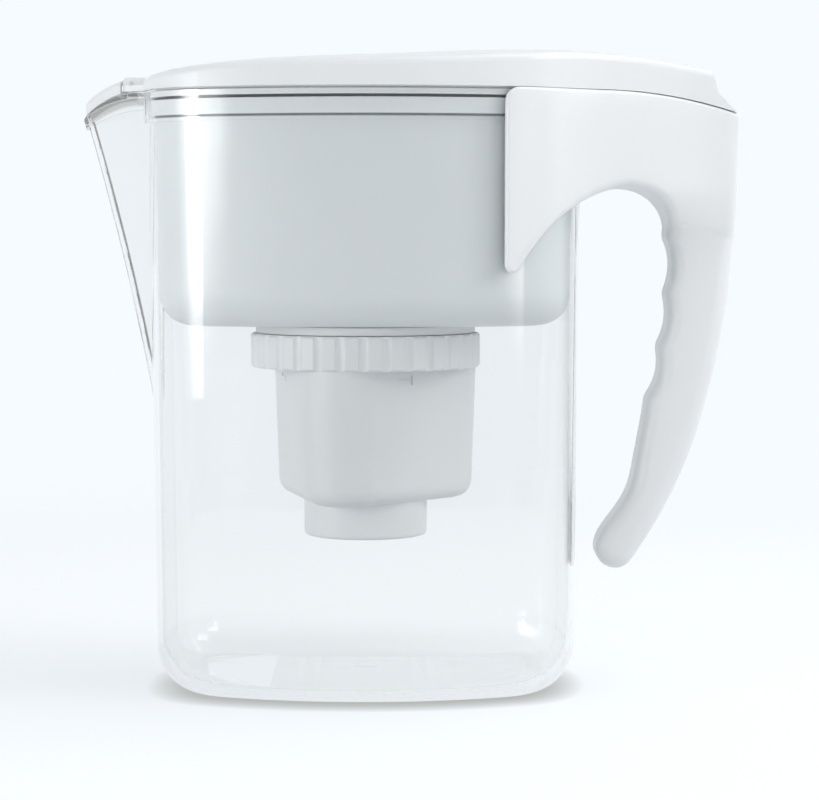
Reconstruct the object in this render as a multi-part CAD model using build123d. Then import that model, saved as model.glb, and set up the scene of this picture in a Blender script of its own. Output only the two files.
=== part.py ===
"""Gravity water filter pitcher: a clear jug with a white reservoir, cartridge, lid and handle.

Millimetres, +Z up. The origin is the centre of the jug's base on the table. The spout points
along -X and the handle along +X.
"""
from build123d import *
import math
import os

# Jug: a drafted oval of tangent arcs, given at the base plane
BASE_HALF_LENGTH = 83.5
BASE_HALF_WIDTH = 57.5
SIDE_ARC = 167.0
END_ARC = 97.0
CORNER_ARC = 33.0
DRAFT = 0.55
JUG_HEIGHT = 235.6
JUG_WALL = 1.9
JUG_FLOOR = 3.2
BASE_EDGE = 18.0
FLOOR_EDGE = 17.5
RIM_BAND = 10.4
RIM_STEP = 2.0
RIM_ROUND = 0.6
GATE_RADIUS = 5.0
GATE_HEIGHT = 0.3

# Spout: a rounded V whose keel leans out of the front wall
SPOUT_REACH = 27.5
SPOUT_DEPTH = 123.6
KEEL_LEAN = 0.735
SPOUT_SPREAD = 34.0
NOSE_RADIUS = 5.5
SPOUT_WALL = 2.2
SPOUT_ROOT = 14.0
SPOUT_SHARES = (-0.08, 0.2, 0.5, 0.8, 1.0)
SPOUT_DROP = 13.4
RIM_SAG = 3.8
LIP_GROWTH = 1.3
LIP_HEIGHT = 5.0

# Lug on the back wall that the handle closes round
LUG_WIDTH = 18.0
LUG_THICKNESS = 3.0
LUG_WEB = 6.0
LUG_HEIGHT = 26.0
LUG_BELOW_RIM = 6.0
LUG_CLEARANCE = 0.2

# Reservoir
LIFT_GAP = 0.3
FLANGE_HEIGHT = 6.2
FLANGE_CLEARANCE = 0.4
RESERVOIR_CLEARANCE = 0.35
RESERVOIR_DRAFT = 0.25
RESERVOIR_DEPTH = 90.6
RESERVOIR_WALL = 2.0
RESERVOIR_FLOOR = 2.4
RESERVOIR_EDGE = 13.0
TOE_LENGTH = 22.0
TOE_HEIGHT = 11.5

# Screw neck of the cartridge and its socket in the reservoir's floor
NECK_RADIUS = 28.2
NECK_WALL = 2.4
NECK_HEIGHT = 15.6
THREAD_PITCH = 4.0
THREAD_DEPTH = 1.1
THREAD_ROOT = 1.9
THREAD_CREST = 1.1
THREAD_TURNS = 1.0
THREAD_START = 2.6
THREAD_CLEARANCE = 0.4
SOCKET_WALL = 3.0
SOCKET_HEIGHT = 13.0
THREAD_BITE = 0.4

# Gasket
GASKET_RADIUS = 43.6
GASKET_THICKNESS = 3.0

# Collar of the cartridge
COLLAR_RADIUS = 45.6
COLLAR_HEIGHT = 13.4
COLLAR_PLATE = 2.4
COLLAR_WALL = 2.4
RIB_COUNT = 32
FLUTE_RADIUS = 3.2
FLUTE_DEPTH = 0.8
NECK_ROUND = 0.6

# Grille in the top of the neck
GRILLE_PLATE = 2.0
GRILLE_LEDGE = 1.2
GRILLE_CHAMFER = 0.4
GRILLE_SLOTS = 12
GRILLE_SLOT_WIDTH = 2.0
GRILLE_SLOT_INNER = 8.0
GRILLE_SLOT_OUTER = 22.4
PRESS_GAP = 0.03

# Cartridge housing: a rounded triangle under a round socket
CORNER_REACH = 27.0
TRI_CORNER = 18.0
TRI_TURN = 15.0
HOUSING_DEPTH = 53.0
HOUSING_DRAFT = 2.0
HOUSING_WALL = 2.0
HOUSING_EDGE = 7.0
RING_FIT = 0.4
MARK_WIDTH = 8.0
MARK_HEIGHT = 1.2
MARK_DEPTH = 0.7
MARK_DROP = 3.5
MARK_SHIFT = -8.8
MARK_TICK = 3.8
MARK_TICK_DROP = 0.65
OUTLET_RADIUS = 24.5
OUTLET_HEIGHT = 14.3
OUTLET_EDGE = 1.6
OUTLET_END = 2.0
SLOT_WIDTH = 2.6
SLOT_RINGS = ((17.8, 62.0, 0.0), (11.8, 74.0, 60.0), (5.8, 78.0, 0.0))

# Filter stack
STACK_GAP = 0.25
SCREEN_THICKNESS = 0.6
SCREEN_HOLE = 1.6
SCREEN_PITCH = 4.6
OUTLET_FELT = 5.0
RESIN_DEPTH = 20.0
DIVIDER_FELT = 2.6
INLET_FELT = 2.4

# Lid
LID_GAP = 0.4
LID_WALL = 2.2
LID_LEDGE = 2.0
PLUG_CLEARANCE = 0.5
PLUG_WALL = 1.8
PLUG_LIFT = 1.2
LID_EDGE = 3.0
SHELF_LENGTH = 7.0
SHELF_THICKNESS = 2.2
SHELF_GROWTH = 0.6
RIDGE_RADIUS = 1.3
RIDGE_HALF_WIDTH = 8.0
RIDGE_FROM_END = 20.5
RIDGE_SINK = 0.4
RIDGE_EDGE = 1.2
TAIL_DEPTH = 15.0
TAIL_SPARE = 5.0
TAIL_TOE = -1.0
TAIL_END = ((-13.6, 14.0), (-9.4, 0.2))
NOTCH_HEIGHT = 20.0

# Lid's crown at stations from the front wall, the back wall and the handle's back: x, the
# height over the rim on the centre line, and the drop of the crown at CROWN_SIDE from it
CROWN_SIDE = 60.0
CROWN_SPARE = 20.0
CROWN_FRONT = ((-6.0, 3.2, 2.4), (14.5, 9.2, 3.2), (36.5, 12.6, 4.0), (71.5, 14.7, 4.3))
CROWN_REAR = ((-61.5, 16.1, 5.0), (-24.5, 17.1, 6.0), (7.5, 15.7, 6.0))
CROWN_TAIL = ((-23.5, 11.3, 6.0), (5.0, 4.2, 6.0))

# Spout flap and its pin
FLAP_WALL = 1.6
FLAP_GAP = 0.5
FLAP_GROWTH = 1.1
FLAP_SPLIT = 0.5
FLAP_REACH = 24.0
FLAP_SPREAD = 38.0
FLAP_ROUND = 2.4
FLAP_ARCH = ((-13.5, -2.5), (-24.7, -12.4))
BARREL_RADIUS = 1.9
BARREL_HALF_WIDTH = 12.6
BARREL_FROM_LID = 3.1
BARREL_ABOVE_RIM = 3.4
EAR_GAP = 0.35
EAR_WIDTH = 4.0
EAR_FRONT = 3.2
EAR_TOP = 2.4
PIN_RADIUS = 0.9
PIN_CLEARANCE = 0.07

# Handle: heights are from the jug's rim, and x is from the handle's back where not said
WING_REACH = 32.3
WING_OUT = 5.5
WING_GAP = 0.3
WING_CORNER = 5.5
WING_DROP = 66.6
GRIP_HALF_WIDTH = 12.5
TAIL_REACH = 84.9
FLARE_BELOW_RIM = 65.6
FLARE_HEIGHT = 28.0
FLARE_PAST_SIDE = 6.0
FLARE_STATIONS = 4
GRIP_TOP = 74.0
HANDLE_DEPTH = 200.0
PARTING_LIFT = 0.1
PARTING_FLAT = 8.5
PARTING_ARC = 170.0
HANDLE_REACH = 62.0
HANDLE_WALL = 2.6
SPLINE_STEP = 6.0
RIDGE_ROUND = 8.0
GRIP_ROUND = 6.0
BACK_ROUND = 4.0
WING_ROUND = 1.5
BACK_PLACES = (
    (-0.6, -23.6),
    (-1.6, -49.6),
    (-4.3, -80.6),
    (-12.2, -120.1),
    (-18.3, -140.2),
    (-28.0, -162.1),
    (-41.8, -184.8),
)
BACK_LEAN = (-0.58, -0.81)
HEEL = (-54.9, -184.2)
INNER_PLACES = ((-44.7, -160.5), (-40.0, -144.3), (-35.9, -119.6))
INNER_END_LEAN = (0.1, 1)
GRIP_HOLLOWS = (
    ((-31.1, -108.0), (-31.9, -99.6)),
    ((-28.0, -87.6), (-29.3, -78.4)),
    ((-26.6, -67.6), (-29.5, -55.6)),
)

# Arch between grip and wing: x is from the handle's back, the jug's back wall and the
# wing's front edge in turn
ARCH_GRIP = ((-28.8, -49.6), (-34.5, -40.6))
ARCH_PEAK = (17.1, -36.9)
ARCH_MIDDLE = ((3.5, -40.0), (-8.5, -46.8))
ARCH_WING = ((12.8, -57.6), (5.3, -68.6))

# Handle screws, driven in from the far side
SCREW_RADIUS = 1.5
SCREW_HEAD = 2.9
HEAD_HEIGHT = 2.2
RECESS_LENGTH = 3.2
RECESS_WIDTH = 0.8
SEAT_DEPTH = 4.0
THREAD_REACH = 7.0
PILOT_CLEARANCE = 0.05
SHANK_CLEARANCE = 0.2
PLUG_FIT = 0.05
WELL_RADIUS = 3.4
BOSS_WALL = 1.8
LUG_SCREW = (26.0, -19.0)
GRIP_SCREWS = ((-12.0, -22.0), (-16.5, -84.0), (-29.5, -143.0))

# Worked out
RISE = math.tan(math.radians(DRAFT))
REAR_X = BASE_HALF_LENGTH + JUG_HEIGHT * RISE
FRONT_X = -REAR_X
BACK_X = REAR_X + HANDLE_REACH
WING_X = REAR_X - WING_REACH
LEDGE_Z = JUG_HEIGHT - RIM_BAND
POCKET = RIM_STEP - JUG_WALL
FLOOR_Z = JUG_HEIGHT - RESERVOIR_DEPTH
SOCKET_BORE = NECK_RADIUS + THREAD_DEPTH + THREAD_CLEARANCE
GASKET_TOP = FLOOR_Z - LIFT_GAP
COLLAR_TOP = GASKET_TOP - GASKET_THICKNESS - LIFT_GAP
COLLAR_BOTTOM = COLLAR_TOP - COLLAR_HEIGHT
HOUSING_BOTTOM = COLLAR_BOTTOM - HOUSING_DEPTH
OUTLET_BOTTOM = HOUSING_BOTTOM - OUTLET_HEIGHT
LID_Z = JUG_HEIGHT + LID_GAP
HINGE_X = FRONT_X - RIM_STEP - BARREL_FROM_LID
HINGE_Z = JUG_HEIGHT + BARREL_ABOVE_RIM

# Cutting solids: how far they reach, how far they pass a face, and what counts as touching
FAR = 400.0
NEAR = 50.0
OVERCUT = 1.0
TOUCH = 0.01


def arc_centre(first, reach_first, second, reach_second):
    """Where a corner arc's centre lies, at two given distances from two other centres."""
    apart = second - first
    length = apart.length
    along = (reach_first**2 - reach_second**2 + length**2) / (2 * length)
    aside = math.sqrt(reach_first**2 - along**2)
    unit = apart / length
    return first + unit * along + Vector(unit.Y, -unit.X) * aside


def outline(z, out=0.0, tail_out=None):
    """The jug's outline at height z, moved outwards by out, as a face. With tail_out it does
    not close round the back but draws in to the grip; tail_out is where that curve leaves
    the corner at the rim."""
    grow = z * RISE + out
    side, end, corner = base_arcs()
    radius = CORNER_ARC + grow
    from_side = (corner - side).normalized()
    from_end = (corner - end).normalized()
    side_join = corner + from_side * radius
    end_join = corner + from_end * radius
    middle = corner + (from_side + from_end).normalized() * radius
    half_x = BASE_HALF_LENGTH + grow
    half_y = BASE_HALF_WIDTH + grow
    edges = [ThreePointArc((-end_join.X, end_join.Y), (-half_x, 0), (-end_join.X, -end_join.Y))]
    for sy in (1, -1):
        front = [(-p.X, sy * p.Y) for p in (side_join, middle, end_join)]
        edges.append(ThreePointArc(*front))
        edges.append(ThreePointArc(front[0], (0, sy * half_y), (side_join.X, sy * side_join.Y)))
    if tail_out is None:
        leave = end_join
        edges.append(ThreePointArc((leave.X, leave.Y), (half_x, 0), (leave.X, -leave.Y)))
    else:
        draw_in = tail_arcs(grow, tail_out)[2]
        towards = (draw_in - corner).normalized()
        reach = (draw_in - corner).length - radius
        leave = corner + towards * radius
        middle = corner + (from_side + towards).normalized() * radius
        end_x = BACK_X + TAIL_SPARE
        places = [(leave.X, leave.Y)]
        for x in ((leave.X + end_x) / 2, end_x):
            places.append((x, draw_in.Y - math.sqrt(reach**2 - (draw_in.X - x) ** 2)))
        edges.append(ThreePointArc(*places))
        edges.append(ThreePointArc(*[(x, -y) for x, y in places]))
        edges.append(Line(places[2], (end_x, -places[2][1])))
    for sy in (1, -1):
        back = [(p.X, sy * p.Y) for p in (side_join, middle, leave)]
        edges.append(ThreePointArc(*back))
    return Pos(0, 0, z) * make_face(edges)


def base_arcs():
    """Centres of the base outline's side arc, end arc and corner arc."""
    side = Vector(0, BASE_HALF_WIDTH - SIDE_ARC)
    end = Vector(BASE_HALF_LENGTH - END_ARC, 0)
    return side, end, arc_centre(side, SIDE_ARC - CORNER_ARC, end, END_ARC - CORNER_ARC)


def tail_arcs(grow, tail_out):
    """The corner arc's centre, its radius grown by grow, and the centre of the hollow arc that
    runs from it to the grip's side."""
    corner = base_arcs()[2]
    radius = CORNER_ARC + JUG_HEIGHT * RISE + tail_out
    ahead = REAR_X + TAIL_REACH - corner.X
    aside = GRIP_HALF_WIDTH - corner.Y
    hollow = (ahead**2 + aside**2 - radius**2) / (2 * (radius - aside))
    return corner, CORNER_ARC + grow, Vector(corner.X + ahead, GRIP_HALF_WIDTH + hollow)


def outline_block(z, top, out=0.0, extra_draft=0.0, tail_out=None):
    """A solid on the jug's outline from z to top, with the jug's draft and any extra."""
    return extrude(outline(z, out, tail_out), top - z, taper=-(DRAFT + extra_draft))


def level_edges(solid, z):
    """The edges that lie at height z."""
    heights = lambda e: (e.bounding_box().min.Z - z, e.bounding_box().max.Z - z)
    return solid.edges().filter_by(lambda e: max(abs(h) for h in heights(e)) < TOUCH)


def side_slab(face, half_width=FAR):
    """A side profile, drawn in x and z, made into a block across the whole width."""
    return extrude(Plane.XZ * face, half_width, both=True)


def disc(radius, z, top):
    """An upright cylinder about the Z axis from z to top."""
    return Pos(0, 0, z) * extrude(Circle(radius), top - z)


def beak(wall_x, reach, spread, grow):
    """A rounded V in plan that reaches forwards from a wall, moved outwards by grow."""
    radius = NOSE_RADIUS + grow
    centre_x = wall_x - reach + NOSE_RADIUS
    spread = math.radians(spread)
    touch = (centre_x - radius * math.sin(spread), radius * math.cos(spread))
    root_x = wall_x + SPOUT_ROOT
    root_y = touch[1] + (root_x - touch[0]) * math.tan(spread)
    edges = [
        Line((root_x, -root_y), (touch[0], -touch[1])),
        ThreePointArc((touch[0], -touch[1]), (centre_x - radius, 0), touch),
        Line(touch, (root_x, root_y)),
        Line((root_x, root_y), (root_x, -root_y)),
    ]
    return make_face(edges)


def spout_section(share, grow=0.0):
    """The spout's outline at a share of its height, 0 at the foot and 1 at the rim."""
    z = JUG_HEIGHT - SPOUT_DEPTH * (1 - share)
    wall_x = -(BASE_HALF_LENGTH + z * RISE)
    reach = SPOUT_REACH * (KEEL_LEAN * share + (1 - KEEL_LEAN) * share * abs(share))
    return Pos(0, 0, z) * beak(wall_x, reach, SPOUT_SPREAD, grow)


def spout_block(grow=0.0):
    """The spout as a solid beak, moved outwards by grow."""
    return loft([spout_section(share, grow) for share in SPOUT_SHARES])


def above_spout_rim(lift=0.0):
    """Everything in front of the jug's rim and above the spout's rim curve, moved by lift."""
    root = (FRONT_X - RIM_STEP, JUG_HEIGHT + lift)
    tip = (FRONT_X - SPOUT_REACH - LIP_GROWTH, JUG_HEIGHT - SPOUT_DROP + lift)
    middle = ((root[0] + tip[0]) / 2, (root[1] + tip[1]) / 2 + RIM_SAG)
    edges = [
        ThreePointArc(root, middle, tip),
        Line(tip, (tip[0], FAR)),
        Line((tip[0], FAR), (root[0], FAR)),
        Line((root[0], FAR), root),
    ]
    return side_slab(make_face(edges))


def rear_lug():
    """The T-shaped lug that stands on the jug's back wall."""
    top = JUG_HEIGHT - LUG_BELOW_RIM
    middle_z = top - LUG_HEIGHT / 2
    front_wall = WING_GAP + HANDLE_WALL + LUG_CLEARANCE
    flange_x = REAR_X + RIM_STEP + front_wall + LUG_THICKNESS / 2
    web_length = flange_x - REAR_X + JUG_WALL / 2
    web_x = flange_x - web_length / 2
    flange = Pos(flange_x, 0, middle_z) * Box(LUG_THICKNESS, LUG_WIDTH, LUG_HEIGHT)
    web = Pos(web_x, 0, middle_z) * Box(web_length, LUG_WEB, LUG_HEIGHT)
    return web + flange


def jug_body():
    """Clear jug with its stepped rim band, beak spout and handle lug in one moulding."""
    outer = fillet(level_edges(outline_block(0, JUG_HEIGHT), 0), BASE_EDGE)
    band = outline_block(LEDGE_Z - JUG_WALL, JUG_HEIGHT, RIM_STEP)
    cavity = outline_block(JUG_FLOOR, JUG_HEIGHT + OVERCUT, -JUG_WALL)
    cavity = fillet(level_edges(cavity, JUG_FLOOR), FLOOR_EDGE)
    pocket = outline_block(LEDGE_Z, JUG_HEIGHT + OVERCUT, POCKET)
    shell = outer + band + rear_lug() - cavity - pocket
    shell = fillet(level_edges(shell, JUG_HEIGHT).filter_by(GeomType.CIRCLE), RIM_ROUND)
    lip = spout_block(LIP_GROWTH) & above_spout_rim(-LIP_HEIGHT)
    spout = spout_block() + lip - above_spout_rim() - cavity - pocket
    gate = disc(GATE_RADIUS, JUG_FLOOR - OVERCUT, JUG_FLOOR + GATE_HEIGHT)
    return shell + spout - spout_block(-SPOUT_WALL) + gate


def thread(root_radius, outward, start_z):
    """One helical ridge, rooted in a wall at root_radius and standing out or in from it."""
    sign = 1 if outward else -1
    path = Helix(THREAD_PITCH, THREAD_PITCH * THREAD_TURNS, root_radius)
    half_root = THREAD_ROOT / 2
    half_crest = THREAD_CREST / 2
    inside = -sign * THREAD_BITE
    crest = sign * THREAD_DEPTH
    shape = [(inside, -half_root), (0, -half_root), (crest, -half_crest)]
    shape += [(crest, half_crest), (0, half_root), (inside, half_root)]
    start = Plane(origin=path @ 0, x_dir=(1, 0, 0), z_dir=path % 0)
    ridge = sweep(start * make_face(Polyline(*shape, close=True)), path=path, is_frenet=True)
    return Pos(0, 0, start_z) * ridge


def toes(end_x, z, inset=0.0):
    """A side view whose floor turns up at both ends in long flat curves, met at end_x."""
    length, height = TOE_LENGTH - inset, TOE_HEIGHT - inset
    edges = [Line((length - end_x, z), (end_x - length, z))]
    for side in (1, -1):
        heel, toe = (side * (end_x - length), z), (side * end_x, z + height)
        edges.append(Spline(heel, toe, tangents=[(side, 0), (0, 1)]))
        edges.append(Line(toe, (side * FAR, z + height)))
        edges.append(Line((side * FAR, z + height), (side * FAR, FAR)))
    edges.append(Line((-FAR, FAR), (FAR, FAR)))
    return side_slab(make_face(edges))


def reservoir():
    """White tub that hangs in the jug, with a threaded socket through its floor."""
    lean = math.tan(math.radians(DRAFT + RESERVOIR_DRAFT))
    narrowing = (LEDGE_Z - FLOOR_Z) * math.tan(math.radians(RESERVOIR_DRAFT))
    out = -JUG_WALL - RESERVOIR_CLEARANCE - narrowing
    flange_z = LEDGE_Z + LIFT_GAP
    top = flange_z + FLANGE_HEIGHT
    tub = outline_block(FLOOR_Z, top, out, RESERVOIR_DRAFT)
    end_x = tub.bounding_box().max.X - (top - FLOOR_Z - TOE_HEIGHT) * lean
    tub = fillet(level_edges(tub, FLOOR_Z), RESERVOIR_EDGE) & toes(end_x, FLOOR_Z)
    flange = outline_block(flange_z, top, POCKET - FLANGE_CLEARANCE)
    inner_z = FLOOR_Z + RESERVOIR_FLOOR
    hollow = outline_block(inner_z, top + OVERCUT, out - RESERVOIR_WALL, RESERVOIR_DRAFT)
    hollow = fillet(level_edges(hollow, inner_z), RESERVOIR_EDGE - RESERVOIR_WALL)
    hollow &= toes(end_x - RESERVOIR_WALL, inner_z, RESERVOIR_FLOOR)
    socket = disc(SOCKET_BORE + SOCKET_WALL, FLOOR_Z, FLOOR_Z + SOCKET_HEIGHT)
    bore = disc(SOCKET_BORE, FLOOR_Z - OVERCUT, FLOOR_Z + SOCKET_HEIGHT + OVERCUT)
    body = tub + flange - hollow + socket - bore
    return body + thread(SOCKET_BORE, False, FLOOR_Z + THREAD_START + THREAD_PITCH / 2)


def gasket():
    """Soft flat ring squeezed between the reservoir's floor and the cartridge's collar."""
    bottom = GASKET_TOP - GASKET_THICKNESS
    ring = disc(GASKET_RADIUS, bottom, GASKET_TOP)
    return ring - disc(SOCKET_BORE, bottom - OVERCUT, GASKET_TOP + OVERCUT)


def cartridge_collar():
    """Fluted screw cap of the cartridge, with its threaded neck."""
    cap = disc(COLLAR_RADIUS, COLLAR_BOTTOM, COLLAR_TOP)
    cap = chamfer(cap.edges().filter_by(GeomType.CIRCLE), FLUTE_DEPTH)
    flute = Pos(COLLAR_RADIUS + FLUTE_RADIUS - FLUTE_DEPTH, 0, COLLAR_BOTTOM - OVERCUT)
    cutter = extrude(Circle(FLUTE_RADIUS), COLLAR_HEIGHT + 2 * OVERCUT)
    cap -= [Rot(0, 0, 360 * i / RIB_COUNT) * flute * cutter for i in range(RIB_COUNT)]
    cap -= disc(COLLAR_RADIUS - COLLAR_WALL, COLLAR_BOTTOM - OVERCUT, COLLAR_TOP - COLLAR_PLATE)
    neck_top = COLLAR_TOP + NECK_HEIGHT
    neck = disc(NECK_RADIUS, COLLAR_TOP - COLLAR_PLATE, neck_top)
    neck = fillet(neck.edges().group_by(Axis.Z)[-1], NECK_ROUND)
    seat = disc(NECK_RADIUS - NECK_WALL, neck_top - GRILLE_PLATE, neck_top + OVERCUT)
    throat = disc(NECK_RADIUS - NECK_WALL - GRILLE_LEDGE, COLLAR_BOTTOM, neck_top)
    collar = cap + neck - seat - throat
    return collar + thread(NECK_RADIUS, True, FLOOR_Z + THREAD_START)


def inlet_grille():
    """Slotted disc pressed into the top of the neck."""
    top = COLLAR_TOP + NECK_HEIGHT
    plate = disc(NECK_RADIUS - NECK_WALL - PRESS_GAP, top - GRILLE_PLATE, top)
    plate = chamfer(plate.edges().group_by(Axis.Z)[-1], GRILLE_CHAMFER)
    length = GRILLE_SLOT_OUTER - GRILLE_SLOT_INNER
    slot = extrude(SlotOverall(length, GRILLE_SLOT_WIDTH), GRILLE_PLATE + 2 * OVERCUT)
    at = Pos((GRILLE_SLOT_OUTER + GRILLE_SLOT_INNER) / 2, 0, top - GRILLE_PLATE - OVERCUT)
    return plate - [Rot(0, 0, 360 * i / GRILLE_SLOTS) * at * slot for i in range(GRILLE_SLOTS)]


def triangle(shrink=0.0):
    """The housing's rounded triangle, with a corner at TRI_TURN, moved inwards."""
    tip = CORNER_REACH + 2 * TRI_CORNER - 2 * shrink
    plain = RegularPolygon(tip, 3, major_radius=True)
    return Rot(0, 0, TRI_TURN) * fillet(plain.vertices(), TRI_CORNER - shrink)


def triangle_block(z, top, shrink=0.0):
    """The housing's drafted triangle from z up to top; shrink is from its outer wall."""
    rise = math.tan(math.radians(HOUSING_DRAFT))
    low = shrink + (COLLAR_BOTTOM - z) * rise
    return Pos(0, 0, z) * extrude(triangle(low), top - z, taper=-HOUSING_DRAFT)


def outlet_slot(radius, span, turn):
    """One arc slot through the outlet's end."""
    half = SLOT_WIDTH / 2
    ends = [math.radians(turn - span / 2), math.radians(turn + span / 2)]
    mid = math.radians(turn)
    face = Circle(radius + half) - Circle(radius - half)
    reach = 2 * OUTLET_RADIUS
    wedge = [(0, 0)] + [(reach * math.cos(a), reach * math.sin(a)) for a in (ends[0], mid, ends[1])]
    caps = [Pos(radius * math.cos(a), radius * math.sin(a)) * Circle(half) for a in ends]
    return (face & make_face(Polyline(*wedge, close=True))) + caps


def cartridge_housing():
    """Three-cornered cup with a round socket on top and the slotted outlet below."""
    cup = triangle_block(HOUSING_BOTTOM, COLLAR_BOTTOM)
    cup = fillet(level_edges(cup, HOUSING_BOTTOM), HOUSING_EDGE)
    ring_top = COLLAR_TOP - COLLAR_PLATE
    ring_radius = COLLAR_RADIUS - COLLAR_WALL - RING_FIT
    ring = disc(ring_radius, COLLAR_BOTTOM, ring_top)
    outlet = disc(OUTLET_RADIUS, OUTLET_BOTTOM, HOUSING_BOTTOM + HOUSING_WALL)
    outlet = fillet(outlet.edges().group_by(Axis.Z)[0], OUTLET_EDGE)
    inside = triangle_block(HOUSING_BOTTOM + HOUSING_WALL, COLLAR_BOTTOM, HOUSING_WALL)
    socket = disc(ring_radius - HOUSING_WALL, COLLAR_BOTTOM, ring_top + OVERCUT)
    chamber_top = HOUSING_BOTTOM + HOUSING_WALL + OVERCUT
    chamber = disc(OUTLET_RADIUS - HOUSING_WALL, OUTLET_BOTTOM + OUTLET_END, chamber_top)
    housing = cup + ring + outlet - inside - socket - chamber
    cuts = []
    for radius, span, turn in SLOT_RINGS:
        face = outlet_slot(radius, span, turn)
        cutter = Pos(0, 0, OUTLET_BOTTOM - OVERCUT) * extrude(face, OUTLET_END + 2 * OVERCUT)
        cuts += [Rot(0, 0, 120 * i) * cutter for i in range(3)]
    flat = (CORNER_REACH + 2 * TRI_CORNER) / 2
    mark_z = COLLAR_BOTTOM - MARK_DROP
    bite = 2 * (MARK_DEPTH + OVERCUT)
    bar = Pos(flat + OVERCUT, MARK_SHIFT, mark_z) * Box(bite, MARK_WIDTH, MARK_HEIGHT)
    tick_y = MARK_SHIFT + (MARK_WIDTH - MARK_HEIGHT) / 2
    tick = Pos(flat + OVERCUT, tick_y, mark_z - MARK_TICK_DROP) * Box(bite, MARK_HEIGHT, MARK_TICK)
    cuts += [Rot(0, 0, TRI_TURN - 60 + 120 * i) * (bar + tick) for i in range(3)]
    return housing - cuts


def screen(radius, z):
    """Round perforated disc that holds back the granules."""
    plate = disc(radius, z, z + SCREEN_THICKNESS)
    hole = Pos(0, 0, z - OVERCUT) * extrude(Circle(SCREEN_HOLE), SCREEN_THICKNESS + 2 * OVERCUT)
    row_pitch = SCREEN_PITCH * math.sqrt(3) / 2
    rows = int(radius / row_pitch)
    holes = []
    for row in range(-rows, rows + 1):
        shift = (row % 2) * SCREEN_PITCH / 2
        columns = int(radius / SCREEN_PITCH) + 1
        for column in range(-columns, columns + 1):
            x, y = column * SCREEN_PITCH + shift, row * row_pitch
            if math.hypot(x, y) < radius - 2 * SCREEN_HOLE:
                holes.append(Pos(x, y) * hole)
    return plate - holes


def filter_stack():
    """Everything the housing holds, from the outlet up, each piece resting on the last."""
    inset = HOUSING_WALL + STACK_GAP
    chamber = OUTLET_RADIUS - inset
    pieces = {}
    z = OUTLET_BOTTOM + OUTLET_END
    pieces["outlet_screen"] = screen(chamber, z)
    z += SCREEN_THICKNESS
    pieces["outlet_felt"] = disc(chamber, z, z + OUTLET_FELT)
    z += OUTLET_FELT
    resin_floor = HOUSING_BOTTOM + HOUSING_WALL
    resin_top = resin_floor + RESIN_DEPTH
    bed = triangle_block(resin_floor, resin_top, inset)
    pieces["resin_bed"] = bed + disc(chamber, z, resin_floor + OVERCUT)
    z = resin_top
    pieces["divider_felt"] = triangle_block(z, z + DIVIDER_FELT, inset)
    z += DIVIDER_FELT
    felt_z = COLLAR_BOTTOM - INLET_FELT
    pieces["carbon_bed"] = triangle_block(z, felt_z, inset)
    pieces["inlet_felt"] = triangle_block(felt_z, COLLAR_BOTTOM, inset)
    ring_inside = COLLAR_RADIUS - COLLAR_WALL - RING_FIT - inset
    pieces["inlet_screen"] = screen(ring_inside, COLLAR_BOTTOM)
    return pieces


def parting_points(lift=0.0):
    """Ends and middle of the curve along which the lid's tail meets the handle."""
    flat_end = REAR_X + PARTING_FLAT
    z = JUG_HEIGHT + PARTING_LIFT + lift
    radius = PARTING_ARC + lift
    places = []
    for x in (flat_end, (flat_end + BACK_X) / 2, BACK_X):
        places.append((x, z - radius + math.sqrt(radius**2 - (x - flat_end) ** 2)))
    return places


def crown_stations():
    """The crown's stations in order, with x from the origin."""
    groups = ((FRONT_X, CROWN_FRONT), (REAR_X, CROWN_REAR), (BACK_X, CROWN_TAIL))
    return [(start + x, height, drop) for start, group in groups for x, height, drop in group]


def crown_block():
    """Everything under the lid's domed top."""
    side = BASE_HALF_WIDTH + CROWN_SPARE
    low = LID_Z - TAIL_DEPTH - CROWN_SPARE
    sections = []
    for x, height, drop in crown_stations():
        z = JUG_HEIGHT + height
        edge_z = z - drop * (side / CROWN_SIDE) ** 2
        edges = [
            ThreePointArc((-side, edge_z), (0, z), (side, edge_z)),
            Line((side, edge_z), (side, low)),
            Line((side, low), (-side, low)),
            Line((-side, low), (-side, edge_z)),
        ]
        sections.append(Plane((x, 0, 0), x_dir=(0, 1, 0), z_dir=(1, 0, 0)) * make_face(edges))
    return loft(sections)


def behind_tail(back=0.0):
    """Everything behind the steep end of the lid's tail."""
    top, knee = from_rim(BACK_X - back, TAIL_END)
    toe_x = BACK_X - back + TAIL_TOE
    low = parting_points()[2][1] - back
    places = [top, knee, (toe_x, low), (toe_x, 0), (FAR, 0), (FAR, top[1])]
    return side_slab(make_face(Polyline(*places, close=True)))


def below_parting(lift):
    """Everything under the parting curve and its level run forwards."""
    start, middle, end = parting_points(lift)
    edges = [
        Line((-FAR, start[1]), start),
        ThreePointArc(start, middle, end),
        Line(end, (FAR, end[1])),
        Line((FAR, end[1]), (FAR, 0)),
        Line((FAR, 0), (-FAR, 0)),
        Line((-FAR, 0), (-FAR, start[1])),
    ]
    return side_slab(make_face(edges))


def lid_ears(z, top):
    """The two blocks that hold the flap's pin."""
    reach = EAR_FRONT + BARREL_FROM_LID + LID_WALL
    x = HINGE_X - EAR_FRONT + reach / 2
    y = BARREL_HALF_WIDTH + EAR_GAP + EAR_WIDTH / 2
    ears = []
    for side in (1, -1):
        ear = Pos(x, side * y, (z + top) / 2) * Box(reach, EAR_WIDTH, top - z)
        front = ear.edges().filter_by(Axis.Y).group_by(Axis.X)[0].sort_by(Axis.Z)[-1]
        ears.append(fillet(front, EAR_TOP - BARREL_RADIUS + 1))
    return ears


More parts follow.
